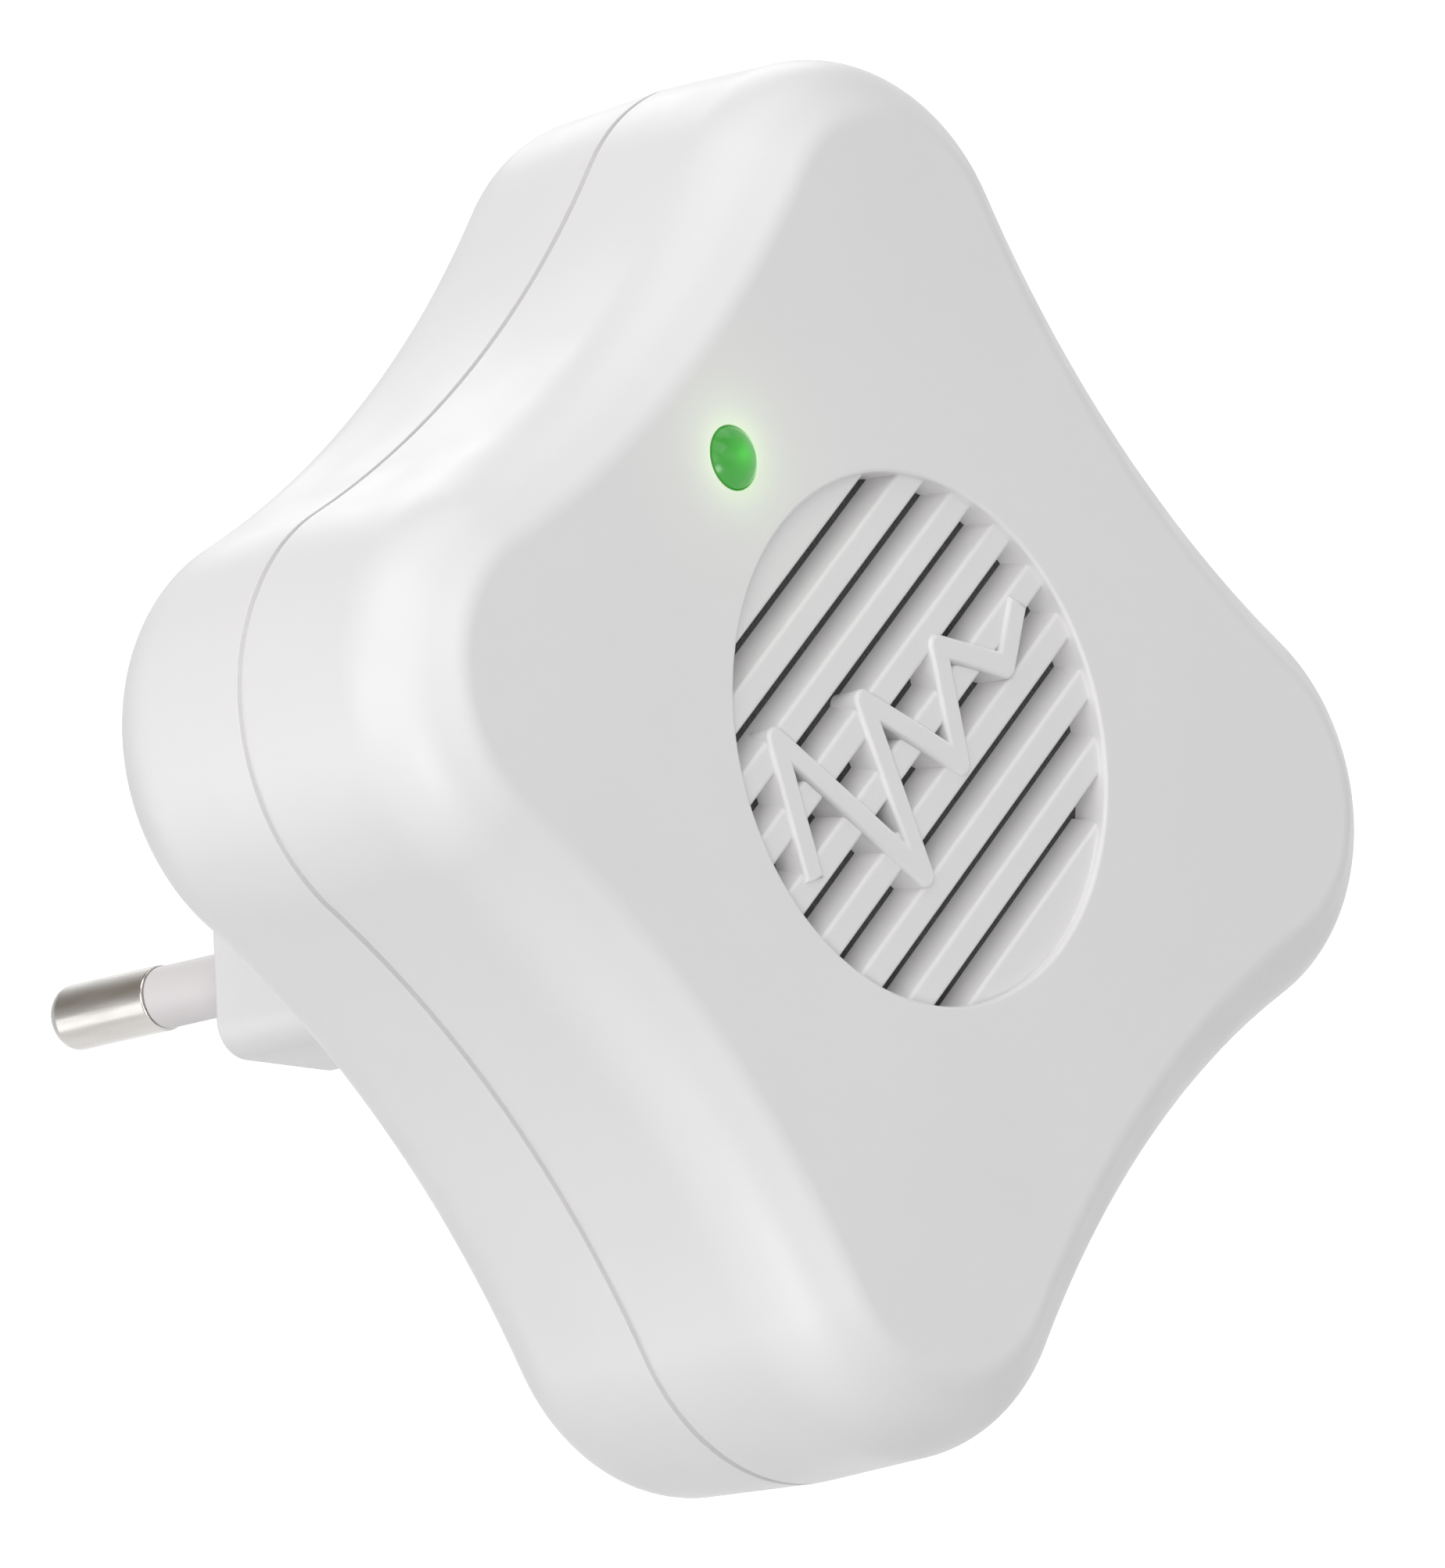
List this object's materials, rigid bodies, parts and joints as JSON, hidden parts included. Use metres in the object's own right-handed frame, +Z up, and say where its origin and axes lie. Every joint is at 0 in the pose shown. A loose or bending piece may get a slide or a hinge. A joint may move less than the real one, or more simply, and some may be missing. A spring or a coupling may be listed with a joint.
{
  "type": "ultrasonic pest repeller",
  "caption": "Plug-in ultrasonic pest repeller: four-lobed two-shell housing with a louvred sounder grille, a green indicator light and a flat two-pin mains plug on the back.",
  "frame": {"origin": "middle of the plug's engagement face, between the two pins", "axes": "+Y along the pins, into the wall socket; the louvred front faces -Y; +Z up, with the light above the grille; +X to the right as seen from the front"},
  "size_m": [0.066, 0.0656, 0.066],
  "materials": {
    "housing_white": "satin moulded ABS",
    "nickel": "nickel-plated brass",
    "sleeve_grey": "insulating sleeve",
    "steel": "zinc-plated screw",
    "black_plastic": "black moulding",
    "brown_insulation": "brown wire insulation",
    "blue_insulation": "blue wire insulation",
    "red_insulation": "red wire insulation",
    "felt": "black felt",
    "foam": "closed-cell foam",
    "cone_paper": "treated paper",
    "brass": "rolled brass",
    "ceramic": "silvered ceramic",
    "green_lens": "lit green lens",
    "tinned_wire": "tinned wire and solder",
    "spacer_white": "nylon",
    "board_laminate": "phenolic laminate",
    "resistor_coat": "resistor coating",
    "film_case": "yellow capacitor case",
    "can_sleeve": "dark blue sleeve",
    "ceramic_coat": "dipped ceramic",
    "ferrite": "ferrite"
  },
  "bodies": {
    "root": {"front_cover": "housing_white", "rear_cover": "housing_white", "housing_screws": "steel", "pin_left": "nickel", "pin_right": "nickel", "sleeve_left": "sleeve_grey", "sleeve_right": "sleeve_grey", "pin_retainer": "black_plastic", "retainer_screw": "steel", "live_wire": "brown_insulation", "neutral_wire": "blue_insulation", "dust_felt": "felt", "sounder_gasket": "foam", "sounder_frame": "black_plastic", "sounder_cone": "cone_paper", "piezo_disc": "brass", "piezo_wafer": "ceramic", "sounder_damper": "foam", "sounder_screws": "steel", "sounder_leads": "red_insulation", "led_lens": "green_lens", "led_legs": "tinned_wire", "led_spacer": "spacer_white", "circuit_board": "board_laminate", "board_screws": "steel", "solder_joints": "tinned_wire", "fuse_resistor": "resistor_coat", "film_capacitor": "film_case", "bridge_rectifier": "black_plastic", "filter_capacitor": "can_sleeve", "zener_diode": "black_plastic", "resistors": "resistor_coat", "ceramic_capacitors": "ceramic_coat", "oscillator_chip": "black_plastic", "drive_transistors": "black_plastic", "boost_coil": "ferrite"}
  },
  "joints": []
}
